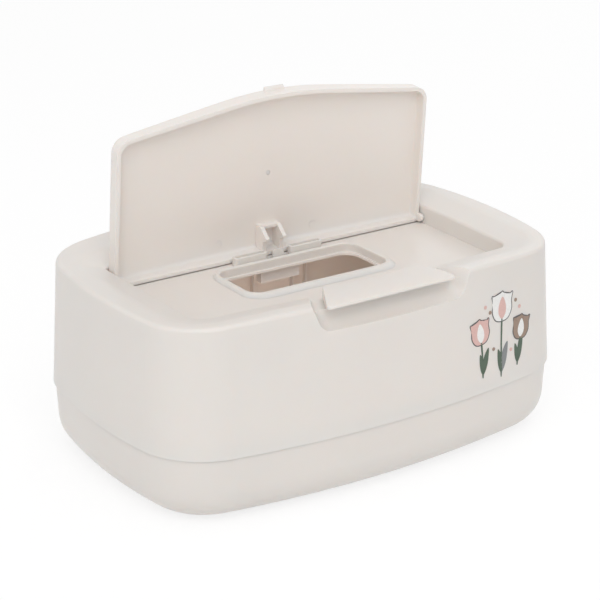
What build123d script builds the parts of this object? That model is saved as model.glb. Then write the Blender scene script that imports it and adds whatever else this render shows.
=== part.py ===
from build123d import *
import os
from math import atan2, cos, degrees, hypot, radians, sin, sqrt, tan

# A box for baby wipes: a rounded tray, a cover that lifts off it, a flip lid sunk into the
# cover's crowned top, and a push button in front of the lid.
# Millimetres, +Z up, the front faces -Y, origin on the table under the middle of the box.
# The lid is modelled standing open.

# Body plan at the parting line: four bowed sides with rounded corners
body_length = 240.0
body_width = 161.0
long_side_radius = 480.0
short_side_radius = 262.0
corner_radius = 37.0

# Body heights
parting_height = 35.4
crown_height = 102.0
crown_radius = 1800.0

# Moulded walls
wall = 2.2
cover_draft = 3.5
cover_rounding = 2.0
skin_rounding = 0.8
tray_draft = 2.5
tray_step = 1.0
base_rounding = 18.0

# Spigot on the tray that guides the cover
spigot_height = 5.5
spigot_root = 6.0
spigot_wall = 1.6
spigot_gap = 0.3

# Anti-slip feet under the tray
foot_radius = 7.0
foot_thickness = 1.8
foot_proud = 0.8
foot_rounding = 0.5
foot_inset_x = 50.0
foot_inset_y = 41.5
seat_gap = 0.15

# Upright ribs inside the back of the cover
rib_places = (18.0, 42.0, 50.0)
rib_wall = 1.2
rib_depth = 3.0
rib_foot_rise = 8.6

# Lid recess in the cover's top
recess_depth = 16.0
recess_gap = 0.7
rim_slope_width = 14.0
rim_slope_depth = 4.2
rim_soft_radius = 12.0
rim_rounding = 1.5

# Lid hinge: pins on the lid's ears turn in sockets in the recess's side walls
hinge_inset = 55.65
pivot_rise = 2.95
open_angle = 85.0
pin_radius = 1.5
pin_gap = 0.05
pin_length = 2.3
socket_end_gap = 0.3
socket_pad_radius = 5.0
socket_pad_height = 2.5
ear_radius = 2.0
ear_width = 1.7

# Flip lid: its insets from the body's sides and front at the parting line, its tail behind
# the pivot line, and its rim's and its clip's heights over that line
lid_side_inset = 29.0
lid_nose_inset = 23.2
lid_side_draw = 1.0
lid_tail = 2.95
lid_slope = 0.14
lid_nose_radius = 207.0
lid_corner_radius = 8.0
rim_rise = 2.15
lid_sink = 0.4
lid_crown_radius = 1500.0
lid_crown_reach = 40.0
lid_wall = 2.0
lid_rounding = 2.4
lid_tail_rounding = 6.0
lid_heel_rounding = 2.0
lid_inner_rounding = 1.4

# Catch lug on the lid's front edge
lug_width = 11.0
lug_length = 2.0
lug_height = 1.9
lug_drop = 2.6
lug_tip = 0.7

# Hinge clip under the lid: two hooked cheeks joined by a web
clip_spread = 10.05
clip_cheek = 2.2
clip_nose_reach = 6.6
clip_nose_height = 0.3
clip_nose_depth = 0.9
clip_notch_reach = 4.4
clip_foot_height = 3.0
clip_roof_reach = 11.2
clip_roof_height = 6.2
clip_roof_wall = 1.5

# Trench behind the hinge line that the standing lid sinks into
trench_depth = 0.8
trench_gap = 0.6
trench_edge_gap = 0.3

# Stay piece in the recess floor: a grooved ledge on a box with a springy tongue
stay_length = 52.0
stay_reach = 3.45
stay_width = 4.8
stay_height = 4.2
stay_break = 13.6
stay_band = 1.1
stay_groove_depth = 2.2
stay_rounding = 1.9
stay_edge_rounding = 0.4
stay_box_reach = 3.85
stay_box_length = 23.0
stay_box_width = 4.4
stay_box_depth = 11.5
stay_box_wall = 1.0
stay_tongue_length = 6.4
stay_tongue_wall = 1.2
stay_tongue_rise = 4.3
stay_tongue_rounding = 1.4

# Collar around the dispensing slot
collar_length = 85.6
collar_width = 39.8
collar_back_reach = 4.85
collar_corner = 9.5
collar_flare = 3.4
collar_side_flare = 1.4
collar_back_flare = 0.6
collar_rise = 1.6
collar_band = 2.2
collar_wall = 1.5
collar_drop = 4.0
collar_rounding = 0.6
lip_width = 1.4
lip_wall = 1.2
lip_corner = 8.5

# Notch for the button and the finger scoop in front of it. Places are insets from the
# body's front at the parting line, and depths are from the crown or from the shelf.
notch_inset = 30.5
notch_half_width = 31.0
notch_spread = 0.486
notch_slope = 25.0
shelf_depth = 7.0
shelf_inset = 12.9
shelf_rounding = 1.5
scoop_inset = 3.0
scoop_depth = 7.8
scoop_rounding = 7.4

# Well that holds the button's stem, over its pivot and behind it
well_length = 49.2
well_back_reach = 3.6
well_width = 6.9
well_depth = 7.6
well_cheek = 4.2

# Push button: a wedge plate over a stem that rocks on two trunnions
button_inset = 5.5
button_length = 17.0
button_rear_half = 27.4
button_rear_bow = 1.9
button_rear_rise = 6.2
button_front_half = 37.4
button_front_rise = 3.4
button_front_wall = 1.0
button_crown = 0.45
button_web_gap = 1.0
button_web_reach = 9.0
button_corner = 2.0
button_rounding = 0.4
button_pivot_reach = 5.0
button_pivot_rise = 4.1
stem_wall = 3.0
stem_end_gap = 2.6
hub_radius = 2.6
trunnion_radius = 1.5
trunnion_length = 1.9
catch_gap = 0.5
catch_side_gap = 1.0
catch_front_gap = 1.0

# Torsion spring round the button's left trunnion
spring_wire = 1.0
spring_width = 1.8
spring_gap = 0.3

# How far the cutting blocks run out past the body
run_out = 15.0

# Worked-out places
half_length = body_length / 2
half_width = body_width / 2
long_centre = long_side_radius - half_width
short_centre = half_length - short_side_radius
above = crown_height + run_out
in_front = -half_width - run_out
foot_x = half_length - foot_inset_x
foot_y = half_width - foot_inset_y
recess_floor = crown_height - recess_depth
pivot_y = half_width - hinge_inset
cover_lean = (crown_height - parting_height) * tan(radians(cover_draft))
rim_room = lid_nose_inset - recess_gap - cover_lean
rim_slope = min(rim_slope_width, rim_room - 2 * max(cover_rounding, wall))
pivot_height = recess_floor + pivot_rise
lid_half_width = half_length - lid_side_inset
lid_reach = body_width - hinge_inset - lid_nose_inset
lid_top = recess_depth - pivot_rise - lid_sink
trench_floor = recess_floor - trench_depth
tilt = radians(open_angle)
lid_plane = Plane((0, pivot_y, pivot_height), x_dir=(1, 0, 0), z_dir=(0, sin(tilt), cos(tilt)))
lid_side = Plane(lid_plane.origin, x_dir=-lid_plane.y_dir, z_dir=(-1, 0, 0))
lid_axis = Axis(lid_plane.origin, lid_plane.z_dir)
shelf_height = crown_height - shelf_depth
shelf_front = shelf_inset - half_width
scoop_sill = scoop_inset - half_width
scoop_sill_height = shelf_height - scoop_depth
notch_rear = notch_inset - half_width
well_floor = shelf_height - well_depth
button_front = button_inset - half_width
button_rear = button_front + button_length
button_rear_height = shelf_height + button_rear_rise
button_front_height = shelf_height + button_front_rise
button_web_height = shelf_height + button_web_gap
button_pivot_y = button_rear - button_pivot_reach
button_pivot_height = well_floor + button_pivot_rise
well_rear = button_pivot_y + well_back_reach
collar_back = pivot_y - collar_back_reach
stay_front = pivot_y - stay_reach
stay_box_front = pivot_y - stay_box_reach
stem_half = well_length / 2 - stem_end_gap


def lid_face_height(reach):
    """Height of the lid's crowned outer face over the pivot, at a reach in front of it."""
    away = reach - lid_crown_reach
    return lid_top - lid_crown_radius + sqrt(lid_crown_radius**2 - away**2)


lid_swing = hypot(lid_tail, lid_face_height(-lid_tail))
trench_back = pivot_y + lid_swing + trench_gap
trench_front = pivot_y + rim_rise - trench_edge_gap
scoop_radius = (scoop_depth + (shelf_front - scoop_sill) ** 2 / scoop_depth) / 2
scoop_centre_height = scoop_sill_height + scoop_radius


def corner_centre():
    """Centre of the corner arc that runs smoothly into a long side and a short side."""
    long_reach = long_side_radius - corner_radius
    short_reach = short_side_radius - corner_radius
    apart = hypot(short_centre, long_centre)
    along = (long_reach**2 - short_reach**2 + apart**2) / (2 * apart)
    across = sqrt(long_reach**2 - along**2)
    x = (along * short_centre + across * long_centre) / apart
    y = (along * long_centre - across * short_centre) / apart - long_centre
    return x, y


corner_x, corner_y = corner_centre()
long_turn = degrees(atan2(corner_x, long_centre + corner_y))
short_turn = degrees(atan2(corner_y, corner_x - short_centre))


def body_plan(height, inset):
    """The body's bowed plan at a height, drawn in by inset."""
    corner_turn = 90 - long_turn - short_turn
    long_arc = long_side_radius - inset
    short_arc = short_side_radius - inset
    corner_arc = corner_radius - inset
    with BuildSketch(Plane.XY.offset(height)) as plan:
        with BuildLine():
            CenterArc((0, long_centre), long_arc, 270 - long_turn, 2 * long_turn)
            CenterArc((corner_x, -corner_y), corner_arc, 270 + long_turn, corner_turn)
            CenterArc((short_centre, 0), short_arc, -short_turn, 2 * short_turn)
            CenterArc((corner_x, corner_y), corner_arc, short_turn, corner_turn)
            CenterArc((0, -long_centre), long_arc, 90 - long_turn, 2 * long_turn)
            CenterArc((-corner_x, corner_y), corner_arc, 90 + long_turn, corner_turn)
            CenterArc((-short_centre, 0), short_arc, 180 - short_turn, 2 * short_turn)
            CenterArc((-corner_x, -corner_y), corner_arc, 180 + short_turn, corner_turn)
        make_face()
    return plan.sketch


def lid_outline(gap):
    """The lid's outline grown by gap, drawn from the pivot line, with the front at -Y."""
    tail = lid_tail + min(gap, 0)
    half = lid_half_width + gap
    front_half = half - lid_side_draw
    nose_radius = lid_nose_radius + gap
    apex = lid_reach + gap + nose_radius * (hypot(1, lid_slope) - 1)
    shoulder = apex - lid_slope * front_half
    with BuildSketch() as plan:
        with BuildLine():
            Polyline(
                (-half, tail),
                (-front_half, -shoulder),
                (0, -apex),
                (front_half, -shoulder),
                (half, tail),
                close=True,
            )
        make_face()
        fillet(plan.vertices().group_by(Axis.Y)[1], lid_corner_radius + gap)
        fillet(plan.vertices().sort_by(Axis.Y)[0], nose_radius)
    return plan.sketch


def recess_outline(gap):
    """The lid's outline grown by gap, run back behind the hinge to the swept lid's arch."""
    half = lid_half_width + gap
    arch = trench_back - pivot_y + gap - recess_gap
    sag = lid_crown_radius - sqrt(lid_crown_radius**2 - half**2)
    with BuildSketch() as plan:
        add(lid_outline(gap))
        with BuildLine():
            ThreePointArc((-half, arch - sag), (0, arch), (half, arch - sag))
            Polyline((half, arch - sag), (half, lid_tail), (-half, lid_tail), (-half, arch - sag))
        make_face()
        fillet(plan.vertices().group_by(Axis.Y)[-1], lid_rounding + gap)
    return plan.sketch


def trench_outline(gap):
    """The back part of the recess outline, behind the hinge line, grown by gap."""
    front = trench_front - pivot_y - gap + recess_gap
    with BuildSketch() as plan:
        add(recess_outline(gap))
        with Locations((0, front)):
            Rectangle(
                body_length, body_width, align=(Align.CENTER, Align.MIN), mode=Mode.INTERSECT
            )
    return plan.sketch


def crowned_body(inset, rounding):
    """The cover's block: drafted walls drawn in by inset under a crowned, rounded top.
    The sphere is turned so that its pole and its seam lie away from the top."""
    with BuildPart() as block:
        extrude(body_plan(parting_height, inset), amount=above - parting_height, taper=cover_draft)
        with Locations((0, 0, crown_height - crown_radius)):
            Sphere(crown_radius - inset, rotation=(0, -90, 0), mode=Mode.INTERSECT)
        fillet(block.faces().sort_by(Axis.Z)[-1].edges(), rounding)
    return block.part


def is_rim_foot(edge):
    """True for the edges where the sloped rim meets the recess's walls."""
    middle = edge.center()
    drop = crown_height - (middle.X**2 + middle.Y**2) / (2 * crown_radius) - middle.Z
    along = edge.bounding_box().size.Z < rim_slope_depth - rim_rounding
    return along and drop > rim_slope_depth / 2


def notch_plan(height, margin):
    """The notch's widening plan at a height, grown sideways by margin."""
    rear_half = notch_half_width + margin + (height - shelf_height) * tan(radians(notch_slope))
    front_half = rear_half + notch_spread * (notch_rear - in_front)
    with BuildSketch(Plane.XY.offset(height)) as plan:
        with BuildLine():
            Polyline(
                (-rear_half, notch_rear),
                (rear_half, notch_rear),
                (front_half, in_front),
                (-front_half, in_front),
                close=True,
            )
        make_face()
    return plan.sketch


def is_scoop_edge(edge):
    """True for the long edges along the bottom of the scoop's flanks."""
    low = edge.center().Z < scoop_centre_height
    return low and edge.bounding_box().size.Y > scoop_rounding


def notch_space(margin):
    """The space over the shelf and in the finger scoop, grown by margin."""
    sill = scoop_sill_height - margin
    rear = scoop_sill + scoop_radius + margin
    with BuildPart() as over_shelf:
        loft([notch_plan(shelf_height - margin, margin), notch_plan(above, margin)], ruled=True)
        sides = over_shelf.faces().sort_by(Axis.Z)[0].edges().sort_by(Axis.X)
        fillet([sides[0], sides[-1]], shelf_rounding + margin)
    with BuildPart() as space:
        loft([notch_plan(sill, margin), notch_plan(above, margin)], ruled=True)
        with BuildSketch(Plane.YZ):
            with BuildLine():
                CenterArc((scoop_sill, scoop_centre_height), scoop_radius + margin, 270, 90)
                Polyline(
                    (rear, scoop_centre_height),
                    (rear, above),
                    (in_front, above),
                    (in_front, sill),
                    (scoop_sill, sill),
                )
            make_face()
        extrude(amount=half_length, both=True, mode=Mode.INTERSECT)
        flanks = space.faces().sort_by(Axis.X)
        low = (flanks[0].edges() + flanks[-1].edges()).filter_by(is_scoop_edge)
        fillet(low, scoop_rounding + margin)
        add(over_shelf.part)
    return space.part


def side_bars(y, z, radius, start, end):
    """A pair of round bars along X, from start to end out from the middle on each side."""
    with BuildPart() as bars:
        with BuildSketch(Plane.YZ.offset(start)):
            with Locations((y, z)):
                Circle(radius)
        extrude(amount=end - start)
        mirror(about=Plane.YZ)
    return bars.part


def collar_outline(margin, corner):
    """The slot collar's outline drawn in by margin, with its own corner radius."""
    with BuildSketch() as plan:
        with Locations((0, collar_back - collar_width / 2)):
            RectangleRounded(collar_length - 2 * margin, collar_width - 2 * margin, corner)
    return plan.sketch


def lid_block(inset, drop, tail_rounding, edge_rounding):
    """The lid's block over the rim plane, drawn in by inset at the sides and drop on top."""
    with BuildPart() as block:
        with BuildSketch(lid_plane.offset(rim_rise)):
            add(lid_outline(-inset))
        extrude(amount=2 * lid_top)
        with Locations(lid_plane.from_local_coords((0, -lid_crown_reach, lid_top - lid_crown_radius))):
            Sphere(lid_crown_radius - drop, mode=Mode.INTERSECT)
        fillet(block.faces().sort_by(lid_axis)[-1].edges().sort_by(Axis.Z)[0], tail_rounding)
        fillet(block.faces().sort_by(lid_axis)[-1].edges().sort_by(Axis.Z)[-1], edge_rounding)
    return block.part


# Lower tray
floor_inset = tray_step + (parting_height - foot_proud) * tan(radians(tray_draft))
with BuildPart() as tray_hollow:
    extrude(
        body_plan(foot_proud + wall, floor_inset + wall), amount=parting_height, taper=-tray_draft
    )
    fillet(tray_hollow.faces().sort_by(Axis.Z)[0].edges(), base_rounding - wall)

spigot_foot = parting_height - spigot_root
spigot_inset = wall + spigot_gap - spigot_root * tan(radians(cover_draft))
spigot_rise = spigot_root + spigot_height
with BuildPart() as spigot:
    extrude(body_plan(spigot_foot, spigot_inset), amount=spigot_rise, taper=cover_draft)
    extrude(
        body_plan(spigot_foot, spigot_inset + spigot_wall),
        amount=spigot_rise,
        taper=cover_draft,
        mode=Mode.SUBTRACT,
    )

with BuildPart() as lower_tray:
    extrude(
        body_plan(foot_proud, floor_inset), amount=parting_height - foot_proud, taper=-tray_draft
    )
    fillet(lower_tray.faces().sort_by(Axis.Z)[0].edges(), base_rounding)
    add(tray_hollow.part, mode=Mode.SUBTRACT)
    add(spigot.part)
    with BuildSketch():
        with GridLocations(2 * foot_x, 2 * foot_y, 2, 2):
            Circle(foot_radius + seat_gap)
    extrude(amount=foot_thickness, mode=Mode.SUBTRACT)

# Upper shell: the space under its skin, less the walls that hang into that space
with BuildPart() as ribs:
    rib_foot = parting_height + rib_foot_rise
    rib_height = above - rib_foot
    with Locations([(side * place, half_width, rib_foot) for place in rib_places for side in (-1, 1)]):
        Box(rib_wall, half_width, rib_height, align=(Align.CENTER, Align.CENTER, Align.MIN))
    extrude(
        body_plan(parting_height, wall + rib_depth),
        amount=above - parting_height,
        taper=cover_draft,
        mode=Mode.SUBTRACT,
    )

with BuildPart() as skin_space:
    add(crowned_body(wall, skin_rounding))
    with BuildSketch(Plane((0, pivot_y, recess_floor - wall))):
        add(recess_outline(recess_gap + wall))
    extrude(amount=above - recess_floor, mode=Mode.SUBTRACT)
    top = skin_space.faces().sort_by(Axis.Z)[-1]
    chamfer(top.inner_wires()[0].edges(), rim_slope, rim_slope_depth, reference=top)
    with BuildSketch(Plane((0, pivot_y, trench_floor - wall))):
        add(trench_outline(recess_gap + wall))
    extrude(amount=wall, mode=Mode.SUBTRACT)
    add(notch_space(wall), mode=Mode.SUBTRACT)
    with Locations((0, well_rear - well_width - wall, well_floor - wall)):
        Box(
            well_length + 2 * well_cheek,
            well_width + 2 * wall,
            shelf_height - well_floor,
            align=(Align.CENTER, Align.MIN, Align.MIN),
            mode=Mode.SUBTRACT,
        )
    pad_start = lid_half_width + recess_gap
    pad_end = pad_start + wall + socket_pad_height
    add(side_bars(pivot_y, pivot_height, socket_pad_radius, pad_start, pad_end), mode=Mode.SUBTRACT)
    add(ribs.part, mode=Mode.SUBTRACT)

with BuildPart() as upper_shell:
    add(crowned_body(0, cover_rounding))
    with BuildSketch(Plane((0, pivot_y, recess_floor))):
        add(recess_outline(recess_gap))
    extrude(amount=above - recess_floor, mode=Mode.SUBTRACT)
    top = upper_shell.faces().sort_by(Axis.Z)[-1]
    chamfer(top.inner_wires()[0].edges(), rim_slope, rim_slope_depth, reference=top)
    fillet(upper_shell.edges(Select.LAST).filter_by(is_rim_foot), rim_rounding)
    top = upper_shell.faces().sort_by(Axis.Z)[-1]
    fillet(top.inner_wires()[0].edges(), rim_soft_radius)
    add(skin_space.part, mode=Mode.SUBTRACT)
    with BuildSketch(Plane((0, pivot_y, trench_floor))):
        add(trench_outline(recess_gap))
    extrude(amount=trench_depth, mode=Mode.SUBTRACT)
    add(notch_space(0), mode=Mode.SUBTRACT)
    with Locations((0, well_rear - well_width, well_floor)):
        Box(
            well_length,
            well_width,
            above - well_floor,
            align=(Align.CENTER, Align.MIN, Align.MIN),
            mode=Mode.SUBTRACT,
        )
    with BuildSketch(Plane.XY.offset(recess_floor - wall - trench_depth)):
        add(collar_outline(collar_band - collar_wall - seat_gap, collar_corner - collar_band))
        with Locations((0, stay_box_front + stay_box_width / 2)):
            Rectangle(stay_box_length + 2 * seat_gap, stay_box_width + 2 * seat_gap)
    extrude(amount=wall + 2 * trench_depth, mode=Mode.SUBTRACT)
    socket_end = lid_half_width + pin_length + socket_end_gap
    add(
        side_bars(pivot_y, pivot_height, pin_radius + pin_gap, lid_half_width, socket_end),
        mode=Mode.SUBTRACT,
    )
    bush_end = well_length / 2 + trunnion_length + socket_end_gap
    add(
        side_bars(
            button_pivot_y, button_pivot_height, trunnion_radius + pin_gap, stem_half, bush_end
        ),
        mode=Mode.SUBTRACT,
    )

# Collar around the dispensing slot
with BuildPart() as slot_collar:
    with BuildSketch(Plane.XY.offset(recess_floor)):
        with Locations((0, collar_back + (collar_back_flare - collar_flare - collar_width) / 2)):
            RectangleRounded(
                collar_length + 2 * collar_side_flare,
                collar_width + collar_flare + collar_back_flare,
                collar_corner + collar_side_flare,
            )
    with BuildSketch(Plane.XY.offset(recess_floor + collar_rise)):
        add(collar_outline(0, collar_corner))
    loft(ruled=True)
    with BuildSketch(Plane.XY.offset(recess_floor - collar_drop)):
        add(collar_outline(collar_band - collar_wall, collar_corner - collar_band))
    extrude(amount=collar_drop)
    with BuildSketch(Plane.XY.offset(recess_floor - collar_drop)):
        add(collar_outline(collar_band, collar_corner - collar_band))
    extrude(amount=collar_drop + collar_rise, mode=Mode.SUBTRACT)
    fillet(slot_collar.faces().sort_by(Axis.Z)[-1].edges(), collar_rounding)
    with BuildSketch(Plane.XY.offset(recess_floor - collar_drop)):
        add(collar_outline(collar_band - collar_wall, collar_corner - collar_band))
        add(collar_outline(collar_band + lip_width, lip_corner), mode=Mode.SUBTRACT)
    extrude(amount=lip_wall)

# Stay piece for the open lid
ledge_half = (stay_length - stay_break) / 2
ledge_middle = (stay_break + ledge_half) / 2
ledge_y = stay_front + stay_width / 2
stay_middle = stay_box_front + stay_box_width / 2
stay_foot = recess_floor - stay_box_depth
with BuildPart() as stay_tongue:
    with Locations((0, stay_middle, stay_foot)):
        Box(
            stay_tongue_length,
            stay_tongue_wall,
            stay_box_depth + stay_tongue_rise,
            align=(Align.CENTER, Align.CENTER, Align.MIN),
        )
    top = stay_tongue.faces().sort_by(Axis.Z)[-1]
    fillet(top.edges().filter_by(Axis.Y), stay_tongue_rounding)

with BuildPart() as stay_ledges:
    with BuildSketch(Plane.XY.offset(recess_floor)):
        with Locations((ledge_middle, ledge_y)):
            RectangleRounded(ledge_half, stay_width, stay_rounding)
    extrude(amount=stay_height)
    fillet(stay_ledges.faces().sort_by(Axis.Z)[-1].edges(), stay_edge_rounding)
    with BuildSketch(Plane.XY.offset(recess_floor + stay_height)):
        with Locations((ledge_middle, ledge_y)):
            RectangleRounded(
                ledge_half - 2 * stay_band, stay_width - 2 * stay_band, stay_rounding - stay_band
            )
    extrude(amount=-stay_groove_depth, mode=Mode.SUBTRACT)
    mirror(about=Plane.YZ)

with BuildPart() as lid_detent:
    with Locations((0, stay_middle, stay_foot)):
        Box(
            stay_box_length,
            stay_box_width,
            stay_box_depth,
            align=(Align.CENTER, Align.CENTER, Align.MIN),
        )
    with Locations((0, stay_middle, stay_foot + stay_box_wall)):
        Box(
            stay_box_length - 2 * stay_box_wall,
            stay_box_width - 2 * stay_box_wall,
            stay_box_depth,
            align=(Align.CENTER, Align.CENTER, Align.MIN),
            mode=Mode.SUBTRACT,
        )
    add(stay_tongue.part)
    add(stay_ledges.part)

# Flip lid: a shallow tray with ears and pins, a catch lug and a hinge clip
lug_top = lid_face_height(lid_reach) - lug_drop
with BuildPart() as hinge_ears:
    with BuildSketch(lid_side.offset(lid_half_width - ear_width)):
        Circle(ear_radius)
        Rectangle(2 * ear_radius, rim_rise + lid_wall, align=(Align.CENTER, Align.MIN))
    extrude(amount=ear_width)
    with BuildSketch(lid_side.offset(lid_half_width)):
        Circle(pin_radius)
    extrude(amount=pin_length)
    mirror(about=Plane.YZ)

with BuildPart() as hinge_clip:
    skirt_middle = lid_wall / 2 - lid_tail
    with BuildSketch(lid_side):
        with BuildLine():
            Polyline(
                (clip_roof_reach, lid_face_height(clip_roof_reach) - wall / 2),
                (clip_roof_reach, clip_roof_height),
                (clip_nose_reach, clip_nose_height),
                (clip_nose_reach - clip_nose_depth, clip_nose_height),
                (clip_notch_reach, clip_foot_height),
                (skirt_middle, clip_foot_height),
                (skirt_middle, lid_top - lid_tail_rounding),
                (skirt_middle + lid_tail_rounding / 2, lid_top - wall),
                close=True,
            )
        make_face()
    extrude(amount=(clip_spread + clip_cheek) / 2, both=True)
    with BuildSketch(lid_side):
        Rectangle(2 * lid_reach, 2 * lid_top)
        with Locations((clip_roof_reach, clip_roof_height)):
            Rectangle(clip_roof_wall, lid_top, align=(Align.MAX, Align.MIN), mode=Mode.SUBTRACT)
    extrude(amount=(clip_spread - clip_cheek) / 2, both=True, mode=Mode.SUBTRACT)

with BuildPart() as flip_lid:
    add(lid_block(0, 0, lid_tail_rounding, lid_rounding))
    add(
        lid_block(lid_wall, wall, lid_heel_rounding, lid_inner_rounding),
        mode=Mode.SUBTRACT,
    )
    add(hinge_ears.part)
    add(hinge_clip.part)
    with BuildSketch(lid_side):
        with BuildLine():
            Polyline(
                (lid_reach - lid_wall / 2, lug_top),
                (lid_reach + lug_length, lug_top),
                (lid_reach + lug_length, lug_top - lug_tip),
                (lid_reach - lid_wall / 2, lug_top - lug_height),
                close=True,
            )
        make_face()
    extrude(amount=lug_width / 2, both=True)

# Push button
lug_front = pivot_y - lid_reach - lug_length
plate_back = button_rear + button_rear_bow
with BuildPart() as push_button:
    with BuildSketch(Plane.XY.offset(button_web_height)) as plate:
        with BuildLine():
            ThreePointArc(
                (-button_rear_half, plate_back), (0, button_rear), (button_rear_half, plate_back)
            )
            Polyline(
                (button_rear_half, plate_back),
                (button_front_half, button_front),
                (-button_front_half, button_front),
                (-button_rear_half, plate_back),
            )
        make_face()
        fillet(plate.vertices(), button_corner)
    extrude(amount=above - button_web_height)
    with BuildSketch(Plane.YZ):
        with BuildLine():
            crown_y = (button_front + plate_back) / 2
            crown_z = (button_front_height + button_rear_height) / 2 + button_crown
            ThreePointArc(
                (button_front, button_front_height),
                (crown_y, crown_z),
                (plate_back, button_rear_height),
            )
            Polyline(
                (plate_back, button_rear_height),
                (plate_back, button_web_height),
                (button_front + button_web_reach, button_web_height),
                (button_front, button_front_height - button_front_wall),
                (button_front, button_front_height),
            )
        make_face()
    extrude(amount=half_length, both=True, mode=Mode.INTERSECT)
    fillet(push_button.faces().sort_by(Axis.Z)[-1].edges(), button_rounding)
    with Locations((0, lug_front - catch_front_gap, pivot_height + lug_top + catch_gap)):
        Box(
            lug_width + 2 * catch_side_gap,
            body_width,
            body_width,
            align=(Align.CENTER, Align.MIN, Align.MAX),
            mode=Mode.SUBTRACT,
        )
    with Locations((0, button_pivot_y, button_pivot_height)):
        Box(
            2 * stem_half,
            stem_wall,
            button_web_height - button_pivot_height,
            align=(Align.CENTER, Align.CENTER, Align.MIN),
        )
    with BuildSketch(Plane.YZ):
        with Locations((button_pivot_y, button_pivot_height)):
            Circle(hub_radius)
    extrude(amount=stem_half, both=True)
    trunnion_end = well_length / 2 + trunnion_length
    add(
        side_bars(button_pivot_y, button_pivot_height, trunnion_radius, stem_half, trunnion_end)
    )

# Spring round the left trunnion, with one leg on the well's floor and one under the plate
spring_bore = trunnion_radius + spring_gap
spring_middle = well_length / 2 - stem_end_gap / 2
with BuildPart() as button_spring:
    with BuildSketch(Plane.YZ.offset(-spring_middle - spring_width / 2)):
        with Locations((button_pivot_y, button_pivot_height)):
            Circle(spring_bore + spring_wire)
            Circle(spring_bore, mode=Mode.SUBTRACT)
    extrude(amount=spring_width)
    with Locations((-spring_middle, button_pivot_y, well_floor)):
        Box(
            spring_wire,
            spring_wire,
            button_pivot_height - spring_bore - spring_wire / 2 - well_floor,
            align=(Align.CENTER, Align.CENTER, Align.MIN),
        )
    with Locations((-spring_middle, button_pivot_y, button_web_height - 2 * spring_gap)):
        Box(
            spring_wire,
            spring_wire,
            button_web_height - 2 * spring_gap - button_pivot_height - spring_bore - spring_wire / 2,
            align=(Align.CENTER, Align.CENTER, Align.MAX),
        )

# Each piece in its own file
os.makedirs("parts", exist_ok=True)
lower_tray.part.label = "lower_tray"
export_step(lower_tray.part, "parts/lower_tray.step")
upper_shell.part.label = "upper_shell"
export_step(upper_shell.part, "parts/upper_shell.step")
slot_collar.part.label = "slot_collar"
export_step(slot_collar.part, "parts/slot_collar.step")
lid_detent.part.label = "lid_detent"
export_step(lid_detent.part, "parts/lid_detent.step")
flip_lid.part.label = "flip_lid"
export_step(flip_lid.part, "parts/flip_lid.step")
push_button.part.label = "push_button"
export_step(push_button.part, "parts/push_button.step")
button_spring.part.label = "button_spring"
export_step(button_spring.part, "parts/button_spring.step")

# Anti-slip feet, one in each corner
for row, y in (("front", -foot_y), ("rear", foot_y)):
    for side, x in (("left", -foot_x), ("right", foot_x)):
        with BuildPart() as foot:
            with BuildSketch():
                with Locations((x, y)):
                    Circle(foot_radius)
            extrude(amount=foot_thickness)
            fillet(foot.faces().sort_by(Axis.Z)[0].edges(), foot_rounding)
        foot.part.label = f"foot_{row}_{side}"
        export_step(foot.part, f"parts/foot_{row}_{side}.step")
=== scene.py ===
from math import atan2, cos, hypot, pi, radians, sin, sqrt, tan

import bmesh
import bpy
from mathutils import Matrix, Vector


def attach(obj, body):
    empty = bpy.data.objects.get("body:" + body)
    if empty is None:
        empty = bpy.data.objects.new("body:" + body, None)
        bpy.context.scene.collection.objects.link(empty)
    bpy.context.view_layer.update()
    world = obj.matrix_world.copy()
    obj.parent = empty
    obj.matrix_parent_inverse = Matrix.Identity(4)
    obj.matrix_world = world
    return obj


# The looks of a box for wipes, in metres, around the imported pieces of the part

MM = 0.001

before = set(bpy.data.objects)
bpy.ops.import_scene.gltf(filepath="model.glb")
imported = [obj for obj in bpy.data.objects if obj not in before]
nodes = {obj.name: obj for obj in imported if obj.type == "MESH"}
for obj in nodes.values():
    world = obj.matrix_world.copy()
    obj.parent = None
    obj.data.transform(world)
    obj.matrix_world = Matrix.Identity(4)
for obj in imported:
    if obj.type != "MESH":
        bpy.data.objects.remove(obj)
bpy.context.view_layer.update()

# Colours, as linear light
PLASTIC = (0.775, 0.735, 0.697)
# The lid's colour is the body plastic painted lighter and warmer: painted light on the lid's
# shaded inner face
PLASTIC_PAINTED_LIGHT = (0.852, 0.800, 0.760)
# The button's colour is the body plastic painted darker: painted shade on the button's top
PLASTIC_PAINTED_SHADE = (0.745, 0.705, 0.668)
RUBBER = (0.52, 0.52, 0.51)
STEEL = (0.60, 0.60, 0.61)
FLOOR = (0.92, 0.92, 0.92)

# How far red, green and blue light soak into the plastic, in millimetres
GLOW = (5.0, 3.4, 2.6)

# Plastic: gloss, share of light that soaks in, and the depth of the fine grain in metres
PLASTIC_GLOSS = 0.34
PLASTIC_THROUGH = 0.3
BUTTON_THROUGH = 0.5
PLASTIC_GRAIN = 0.00002
PLASTIC_IOR = 1.49

# Noise in the plastic, in features per metre: flow mottle, gloss and grain
MOTTLE_SCALE = 14.0
GLOSS_SCALE = 55.0
GRAIN_SCALE = 2600.0

# The range that most of a noise falls in
NOISE_LOW = 0.3
NOISE_HIGH = 0.7


# Shader helpers

def new_material(name):
    """A material with an empty node tree, its shader and its output."""
    material = bpy.data.materials.new(name)
    material.use_nodes = True
    tree = material.node_tree
    tree.nodes.clear()
    output = tree.nodes.new("ShaderNodeOutputMaterial")
    shader = tree.nodes.new("ShaderNodeBsdfPrincipled")
    tree.links.new(shader.outputs[0], output.inputs[0])
    return material, tree, shader


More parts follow.
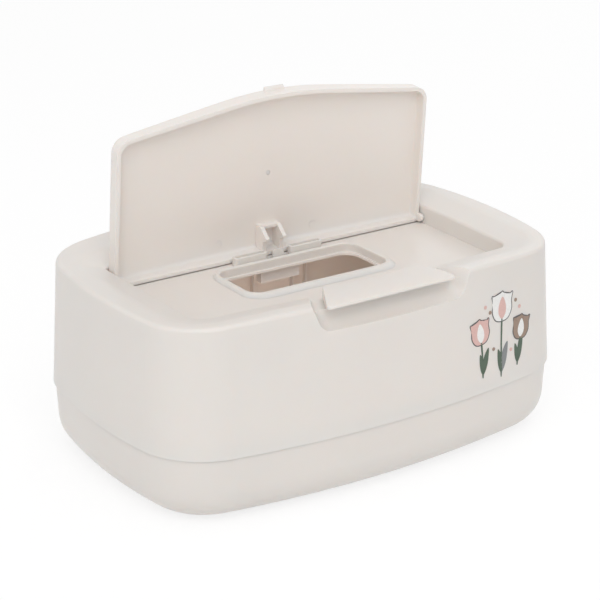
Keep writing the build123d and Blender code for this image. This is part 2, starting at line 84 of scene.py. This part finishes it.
def object_noise(tree, scale, detail=3.0, roughness=0.5):
    """Noise laid in the object's own coordinates, in features per metre."""
    place = tree.nodes.new("ShaderNodeTexCoord")
    noise = tree.nodes.new("ShaderNodeTexNoise")
    noise.inputs["Scale"].default_value = scale
    noise.inputs["Detail"].default_value = detail
    noise.inputs["Roughness"].default_value = roughness
    tree.links.new(place.outputs["Object"], noise.inputs["Vector"])
    return noise.outputs[0]


def ramp(tree, source, low, high):
    """A colour or grey ramp from low to high over the middle of the source's range."""
    node = tree.nodes.new("ShaderNodeValToRGB")
    node.color_ramp.elements[0].position = NOISE_LOW
    node.color_ramp.elements[1].position = NOISE_HIGH
    node.color_ramp.elements[0].color = (*low, 1)
    node.color_ramp.elements[1].color = (*high, 1)
    tree.links.new(source, node.inputs[0])
    return node.outputs[0]


def span(tree, source, low, high):
    """The source's middle range mapped onto a range of plain numbers."""
    node = tree.nodes.new("ShaderNodeMapRange")
    node.inputs["From Min"].default_value = NOISE_LOW
    node.inputs["From Max"].default_value = NOISE_HIGH
    node.inputs["To Min"].default_value = low
    node.inputs["To Max"].default_value = high
    tree.links.new(source, node.inputs["Value"])
    return node.outputs[0]


def bump(tree, source, depth):
    """A bump of a depth in metres."""
    node = tree.nodes.new("ShaderNodeBump")
    node.inputs["Strength"].default_value = 1.0
    node.inputs["Distance"].default_value = depth
    tree.links.new(source, node.inputs["Height"])
    return node.outputs[0]


def moulded_plastic(name, colour, through=PLASTIC_THROUGH):
    """Moulded plastic: a slight flow mottle, a fine even grain, and light that soaks in."""
    material, tree, shader = new_material(name)
    mottle = object_noise(tree, MOTTLE_SCALE, 4.0, 0.55)
    darker = tuple(0.985 * c for c in colour)
    lighter = tuple(min(1.0, 1.012 * c) for c in colour)
    tree.links.new(ramp(tree, mottle, darker, lighter), shader.inputs["Base Color"])
    cloud = object_noise(tree, GLOSS_SCALE, 3.0, 0.6)
    rough = span(tree, cloud, PLASTIC_GLOSS - 0.03, PLASTIC_GLOSS + 0.04)
    tree.links.new(rough, shader.inputs["Roughness"])
    fine = object_noise(tree, GRAIN_SCALE, 2.0, 0.5)
    tree.links.new(bump(tree, fine, PLASTIC_GRAIN), shader.inputs["Normal"])
    shader.inputs["IOR"].default_value = PLASTIC_IOR
    shader.inputs["Subsurface Weight"].default_value = through
    shader.inputs["Subsurface Radius"].default_value = GLOW
    shader.inputs["Subsurface Scale"].default_value = MM
    return material


def foot_rubber():
    """Pale matt rubber with a soft cloudy grain."""
    material, tree, shader = new_material("foot_rubber")
    cloud = object_noise(tree, 120.0, 4.0, 0.6)
    tree.links.new(
        ramp(tree, cloud, tuple(0.92 * c for c in RUBBER), RUBBER), shader.inputs["Base Color"]
    )
    tree.links.new(span(tree, cloud, 0.62, 0.78), shader.inputs["Roughness"])
    tree.links.new(bump(tree, object_noise(tree, 1500.0), 0.00003), shader.inputs["Normal"])
    return material


def spring_steel():
    """Bright drawn wire with fine marks."""
    material, tree, shader = new_material("spring_steel")
    marks = object_noise(tree, 900.0, 2.0, 0.5)
    tree.links.new(
        ramp(tree, marks, tuple(0.85 * c for c in STEEL), STEEL), shader.inputs["Base Color"]
    )
    tree.links.new(span(tree, marks, 0.25, 0.4), shader.inputs["Roughness"])
    shader.inputs["Metallic"].default_value = 1.0
    return material


def new_piece(name, mesh, material, body):
    """A piece made from a finished mesh, painted and riding on a body."""
    data = bpy.data.meshes.new(name)
    mesh.to_mesh(data)
    mesh.free()
    data.materials.append(material)
    piece = bpy.data.objects.new(name, data)
    bpy.context.scene.collection.objects.link(piece)
    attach(piece, body)
    return piece


def paint(obj, material):
    """Give an object one material in all its slots."""
    if not obj.material_slots:
        obj.data.materials.append(material)
    for slot in obj.material_slots:
        slot.material = material


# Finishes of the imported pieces
body_plastic = moulded_plastic("body_plastic", PLASTIC)
# The lid gets the body plastic painted lighter and warmer, as painted light on its inner face
lid_plastic_painted_light = moulded_plastic("lid_plastic_painted_light", PLASTIC_PAINTED_LIGHT)
# The button gets the body plastic painted darker, as painted shade on its top
button_plastic_painted_shade = moulded_plastic("button_plastic_painted_shade", PLASTIC_PAINTED_SHADE, BUTTON_THROUGH)
paint(nodes["upper_shell"], body_plastic)
paint(nodes["lower_tray"], body_plastic)
paint(nodes["push_button"], button_plastic_painted_shade)
paint(nodes["slot_collar"], body_plastic)
paint(nodes["lid_detent"], body_plastic)
paint(nodes["flip_lid"], lid_plastic_painted_light)
paint(nodes["button_spring"], spring_steel())
rubber = foot_rubber()
for name, node in nodes.items():
    if name.startswith("foot_"):
        paint(node, rubber)


# The cover's front face, as the part makes it, in millimetres
LONG_RADIUS = 480.0
SHORT_RADIUS = 262.0
CORNER_RADIUS = 37.0
HALF_LENGTH = 120.0
HALF_WIDTH = 80.5
PARTING = 35.4
DRAFT = tan(radians(3.5))


def corner_middle():
    """Middle of the front right corner's arc, which runs smoothly into both its neighbours."""
    long_reach = LONG_RADIUS - CORNER_RADIUS
    short_reach = SHORT_RADIUS - CORNER_RADIUS
    short_middle = HALF_LENGTH - SHORT_RADIUS
    long_middle = LONG_RADIUS - HALF_WIDTH
    apart = hypot(short_middle, long_middle)
    along = (long_reach**2 - short_reach**2 + apart**2) / (2 * apart)
    across = sqrt(long_reach**2 - along**2)
    x = (along * short_middle + across * long_middle) / apart
    y = (along * long_middle - across * short_middle) / apart - long_middle
    return x, -y


CORNER_X, CORNER_Y = corner_middle()


def on_front(x, z, proud):
    """The point on the front face at a place across and up, raised by proud, in metres."""
    lean = (z - PARTING) * DRAFT
    long_middle = LONG_RADIUS - HALF_WIDTH
    turn = atan2(CORNER_X, long_middle - CORNER_Y)
    if x < (LONG_RADIUS - lean) * sin(turn):
        reach = LONG_RADIUS - lean + proud
        y = long_middle - sqrt(reach**2 - x**2)
    else:
        reach = CORNER_RADIUS - lean + proud
        y = CORNER_Y - sqrt(reach**2 - (x - CORNER_X) ** 2)
    return Vector((x, y, z)) * MM


# Print on the right of the front face: three tulips in thin layers of ink, in millimetres

INK_GLOSS = 0.38
INK_SUNK = 0.05
UNDER_PROUD = 0.05
TOP_PROUD = 0.09
DETAIL_PROUD = 0.12
LINE = 0.55
LOOP_STEPS = 7
LONGEST_EDGE = 1.6
STEM_WIDTH = 0.9
STEM_RISE = 0.6

CUP = [(0, 0), (3.6, 0.9), (5.6, 4.4), (5.4, 8.4), (6.0, 11.6), (3.6, 9.6), (1.9, 9.4), (0, 12.8),
       (-1.9, 9.4), (-3.6, 9.6), (-6.0, 11.6), (-5.4, 8.4), (-5.6, 4.4), (-3.6, 0.9)]
HEART = [(0, 0.9), (2.1, 3.4), (2.0, 7.2), (0, 10.6), (-2.0, 7.2), (-2.1, 3.4)]
LEAF = [(0, 0), (2.6, 2.6), (4.6, 7.4), (5.6, 13.6), (2.2, 10.4), (0.4, 5.2)]
SEED = [(0, 0.9), (0.8, 0.5), (1.0, -0.2), (0.5, -0.9), (-0.4, -0.9), (-0.9, -0.2), (-0.7, 0.6)]

# Each tulip: colour, foot of the stem, foot of the cup, size and turn
TULIPS = (
    ("pink", (53.0, 44.0), (52.0, 60.5), 1.0, 0.10),
    ("white", (65.5, 42.0), (66.0, 69.0), 1.15, -0.04),
    ("taupe", (77.0, 44.0), (79.0, 56.5), 0.95, -0.12),
)
# Each leaf of a tulip: side, lean, and size against the tulip's
LEAVES = ((1, 0.10, 0.92), (-1, 0.22, 0.74))
SEEDS = (
    ((54.8, 78.6), "pink"), ((57.9, 75.2), "taupe"), ((75.8, 77.2), "taupe"),
    ((78.6, 73.2), "pink"), ((60.3, 56.0), "taupe"), ((72.4, 52.6), "pink"),
)
# The colour of the heart in a cup of each colour
HEARTS = {"pink": "white", "white": "pink", "taupe": "white"}
INKS = {
    "line": (0.105, 0.100, 0.100),
    "white": (0.86, 0.85, 0.83),
    "pink": (0.72, 0.47, 0.43),
    "taupe": (0.33, 0.235, 0.18),
    "leaf": (0.085, 0.125, 0.085),
    "grey": (0.24, 0.25, 0.25),
}


def smooth_loop(corners):
    """A smooth closed line through the corners."""
    points = []
    count = len(corners)
    for i in range(count):
        a, b, c, d = (Vector(corners[(i + k) % count]) for k in (-1, 0, 1, 2))
        for step in range(LOOP_STEPS):
            t = step / LOOP_STEPS
            points.append(
                0.5 * (2 * b + (c - a) * t + (2 * a - 5 * b + 4 * c - d) * t**2
                       + (3 * b - a - 3 * c + d) * t**3)
            )
    return points


def grown(points, margin):
    """A closed line moved outwards by a margin."""
    count = len(points)
    moved = []
    for i in range(count):
        along = (points[(i + 1) % count] - points[i - 1]).normalized()
        moved.append(points[i] + margin * Vector((along.y, -along.x)))
    return moved


def placed(points, place, size=1.0, turn=0.0, flip=1):
    """A line scaled, turned, mirrored if flip is minus one, and moved to a place."""
    c, s = cos(turn), sin(turn)
    line = [
        Vector((flip * size * (c * p.x - s * p.y), size * (s * p.x + c * p.y))) + Vector(place)
        for p in points
    ]
    return line if flip > 0 else line[::-1]


def ink_layer(name, loops, proud, material):
    """Flat shapes of ink laid on the bowed front face, all in one piece."""
    mesh = bmesh.new()
    for loop in loops:
        mesh.faces.new([mesh.verts.new((p.x, p.y, 0)) for p in loop])
    bmesh.ops.triangulate(mesh, faces=mesh.faces[:])
    for _ in range(2):
        long_edges = [edge for edge in mesh.edges if edge.calc_length() > LONGEST_EDGE]
        bmesh.ops.subdivide_edges(mesh, edges=long_edges, cuts=1, use_grid_fill=True)
        bmesh.ops.triangulate(mesh, faces=mesh.faces[:])
    for vert in mesh.verts:
        vert.co = on_front(vert.co.x, vert.co.y, proud)
    bmesh.ops.recalc_face_normals(mesh, faces=mesh.faces[:])
    if sum(face.normal.y * face.calc_area() for face in mesh.faces) > 0:
        bmesh.ops.reverse_faces(mesh, faces=mesh.faces[:])
    layer = new_piece(name, mesh, material, "cover").modifiers.new("thickness", "SOLIDIFY")
    layer.thickness = (proud + INK_SUNK) * MM
    layer.offset = -1


def ink(name, colour):
    """Printed ink: an even colour with a faint screen speckle."""
    material, tree, shader = new_material(name)
    speckle = object_noise(tree, 1800.0, 2.0, 0.6)
    lighter = tuple(min(1.0, 1.05 * c) for c in colour)
    tree.links.new(
        ramp(tree, speckle, tuple(0.93 * c for c in colour), lighter), shader.inputs["Base Color"]
    )
    rough = span(tree, speckle, INK_GLOSS, INK_GLOSS + 0.08)
    tree.links.new(rough, shader.inputs["Roughness"])
    tree.links.new(bump(tree, speckle, 0.000006), shader.inputs["Normal"])
    return material


def stem_line(foot, top):
    """A slim bent stem from its foot to the flower."""
    bend = Vector(((top[0] - foot[0]) * 0.25, (top[1] - foot[1]) * 0.55))
    middle = Vector(foot) + bend
    half = STEM_WIDTH / 2
    corners = [
        (foot[0] - half, foot[1]), (foot[0] + half, foot[1]), (middle.x + half, middle.y),
        (top[0] + half, top[1]), (top[0] - half, top[1]), (middle.x - half, middle.y),
    ]
    return smooth_loop(corners)


def tulip_print():
    """The three tulips: ink lines under fills of white, pink, taupe, grey and leaf green."""
    fills = {"white": [], "pink": [], "taupe": [], "leaf": [], "grey": []}
    details = {"white": [], "pink": []}
    lines = []
    for colour, foot, head, size, turn in TULIPS:
        fills["leaf"].append(stem_line(foot, (head[0], head[1] + STEM_RISE)))
        for flip, lean, scale in LEAVES:
            base = (foot[0], foot[1] + STEM_RISE)
            leaf = placed(smooth_loop(LEAF), base, scale * size, lean, flip)
            fills["grey" if flip > 0 and colour == "white" else "leaf"].append(leaf)
        cup = placed(smooth_loop(CUP), head, size, turn)
        fills[colour].append(cup)
        lines.append(grown(cup, LINE))
        details[HEARTS[colour]].append(placed(smooth_loop(HEART), head, size, turn))
    for place, colour in SEEDS:
        fills[colour].append(placed(smooth_loop(SEED), place))
    inks = {name: ink("ink_" + name, colour) for name, colour in INKS.items()}
    ink_layer("print_line", lines, UNDER_PROUD, inks["line"])
    for colour, loops in fills.items():
        ink_layer("print_" + colour, loops, TOP_PROUD, inks[colour])
    for colour, loops in details.items():
        ink_layer("print_heart_" + colour, loops, DETAIL_PROUD, inks[colour])


tulip_print()


# Marks that the mould leaves inside the lid, in millimetres. Reach is from the hinge's axis
# along the open lid, and each profile is a row of radii and heights.

PIVOT = Vector((0.0, 24.85, 88.95))
OPEN = radians(85.0)
LID_OUT = Vector((0.0, sin(OPEN), cos(OPEN)))
LID_ALONG = Vector((0.0, -cos(OPEN), sin(OPEN)))
LID_INSIDE = 10.45
LID_BOW = 1500.0
LID_BOW_REACH = 40.0
EJECTOR = ((0.0, 0.16), (1.5, 0.16), (1.75, 0.30), (2.15, 0.30), (2.35, 0.14), (2.4, -0.1))
EJECTOR_SIDE = 28.2
EJECTOR_REACH = 4.7
GATE_REACH = 38.0
MARK_STEPS = 40
GATE = ((0.0, 0.16), (0.5, 0.14), (0.8, 0.09), (1.3, 0.04), (1.5, -0.1))


def mould_mark(name, across, reach, profile):
    """A round mark on the lid's inner face, turned from a profile."""
    mesh = bmesh.new()
    base = LID_INSIDE - (reach - LID_BOW_REACH) ** 2 / (2 * LID_BOW)
    middle = PIVOT + reach * LID_ALONG
    rings = []
    for radius, height in profile:
        ring = []
        for step in range(MARK_STEPS if radius > 0 else 1):
            angle = 2 * pi * step / MARK_STEPS
            place = middle + radius * sin(angle) * LID_ALONG + (base - height) * LID_OUT
            place.x = across + radius * cos(angle)
            ring.append(mesh.verts.new(place * MM))
        rings.append(ring)
    for inner, outer in zip(rings, rings[1:]):
        for step in range(MARK_STEPS):
            after = (step + 1) % MARK_STEPS
            if len(inner) == 1:
                mesh.faces.new((inner[0], outer[step], outer[after]))
            else:
                mesh.faces.new((inner[step], outer[step], outer[after], inner[after]))
    mesh.faces.new(rings[-1][::-1])
    bmesh.ops.recalc_face_normals(mesh, faces=mesh.faces[:])
    for face in mesh.faces:
        face.smooth = True
    new_piece(name, mesh, lid_plastic_painted_light, "lid")


for side, across in (("left", -EJECTOR_SIDE), ("right", EJECTOR_SIDE)):
    mould_mark("ejector_mark_" + side, across, EJECTOR_REACH, EJECTOR)
mould_mark("gate_mark", 0.0, GATE_REACH, GATE)


# Floor, light and camera

FLOOR_SIZE = 12.0
FLOOR_WHITE = 1.07
FLOOR_WHITE_SHARE = 0.72
SURROUND = 0.60
LAMP_SIZE = 1.6
CAMERA_TURN = radians(33.7)
CAMERA_DIP = radians(21.4)
CAMERA_DISTANCE = 0.974
CAMERA_TARGET = Vector((-0.0022, 0.0, 0.0705))
CAMERA_LENS = 118.0
BODY_MIDDLE = (0, 0, 0.05)

def seen_straight(tree):
    """One for rays from the eye, in a gloss or through a clear part, and nothing for others."""
    path = tree.nodes.new("ShaderNodeLightPath")
    total = path.outputs["Is Camera Ray"]
    for name in ("Is Glossy Ray", "Is Transmission Ray"):
        most = tree.nodes.new("ShaderNodeMath")
        most.operation = "MAXIMUM"
        tree.links.new(total, most.inputs[0])
        tree.links.new(path.outputs[name], most.inputs[1])
        total = most.outputs[0]
    return total


def stage_floor():
    """A wide pale floor that shows the object's soft shadow."""
    bpy.ops.mesh.primitive_plane_add(size=FLOOR_SIZE, location=(0, 0, 0))
    floor = bpy.context.object
    floor.name = "floor"
    material, tree, shader = new_material("floor")
    shader.inputs["Roughness"].default_value = 0.9
    shader.inputs["Specular IOR Level"].default_value = 0.1
    cloud = object_noise(tree, 1.5)
    tree.links.new(
        ramp(tree, cloud, tuple(0.99 * c for c in FLOOR), FLOOR), shader.inputs["Base Color"]
    )
    white = tree.nodes.new("ShaderNodeEmission")
    white.inputs["Strength"].default_value = FLOOR_WHITE
    seen = seen_straight(tree)
    share = tree.nodes.new("ShaderNodeMath")
    share.operation = "MULTIPLY"
    share.inputs[1].default_value = FLOOR_WHITE_SHARE
    tree.links.new(seen, share.inputs[0])
    mix = tree.nodes.new("ShaderNodeMixShader")
    tree.links.new(share.outputs[0], mix.inputs[0])
    tree.links.new(shader.outputs[0], mix.inputs[1])
    tree.links.new(white.outputs[0], mix.inputs[2])
    output = next(node for node in tree.nodes if node.type == "OUTPUT_MATERIAL")
    tree.links.new(mix.outputs[0], output.inputs[0])
    floor.data.materials.append(material)


def area_light(name, place, aim, size, power, colour=(1, 1, 1)):
    """A soft square lamp at a place, turned to face a point."""
    data = bpy.data.lights.new(name, "AREA")
    data.shape = "SQUARE"
    data.size = size
    data.energy = power
    data.color = colour
    lamp = bpy.data.objects.new(name, data)
    bpy.context.scene.collection.objects.link(lamp)
    lamp.location = place
    lamp.visible_camera = False
    lamp.rotation_euler = (Vector(aim) - Vector(place)).to_track_quat("-Z", "Y").to_euler()


def white_world(level):
    """An even pale surround; rays that see it straight or in a gloss find plain white."""
    world = bpy.data.worlds.new("surround")
    bpy.context.scene.world = world
    world.use_nodes = True
    tree = world.node_tree
    tree.nodes.clear()
    output = tree.nodes.new("ShaderNodeOutputWorld")
    even = tree.nodes.new("ShaderNodeBackground")
    even.inputs["Strength"].default_value = level
    white = tree.nodes.new("ShaderNodeBackground")
    white.inputs["Strength"].default_value = 1.0
    for background in (even, white):
        background.inputs["Color"].default_value = (1, 1, 1, 1)
    mix = tree.nodes.new("ShaderNodeMixShader")
    tree.links.new(seen_straight(tree), mix.inputs[0])
    tree.links.new(even.outputs[0], mix.inputs[1])
    tree.links.new(white.outputs[0], mix.inputs[2])
    tree.links.new(mix.outputs[0], output.inputs[0])


def camera():
    """The photograph's viewpoint: turned to the left of the front and looking down a little."""
    level = cos(CAMERA_DIP)
    look = Vector((sin(CAMERA_TURN) * level, cos(CAMERA_TURN) * level, -sin(CAMERA_DIP)))
    data = bpy.data.cameras.new("camera")
    data.sensor_width = 36.0
    data.lens = CAMERA_LENS
    data.clip_start = 0.01
    eye = bpy.data.objects.new("camera", data)
    bpy.context.scene.collection.objects.link(eye)
    eye.location = CAMERA_TARGET - CAMERA_DISTANCE * look
    eye.rotation_euler = (pi / 2 - CAMERA_DIP, 0, -CAMERA_TURN)
    bpy.context.scene.camera = eye


stage_floor()
white_world(SURROUND)
area_light("key", (-0.8, -1.6, 1.75), BODY_MIDDLE, LAMP_SIZE, 15.5)
area_light("left", (-1.7, -0.9, 1.4), BODY_MIDDLE, LAMP_SIZE, 6.0)
area_light("right", (1.6, 0.9, 1.4), BODY_MIDDLE, LAMP_SIZE, 4.2)
area_light("above", (-0.1, -0.5, 2.0), (0, 0, 0.08), LAMP_SIZE, 3.6)
area_light("inside", (0, 0, 0.015), (0, 0.001, 0.1), 0.12, 0.042, (1.0, 0.84, 0.76))
camera()

scene = bpy.context.scene
scene.view_settings.view_transform = "Standard"

bpy.context.view_layer.update()
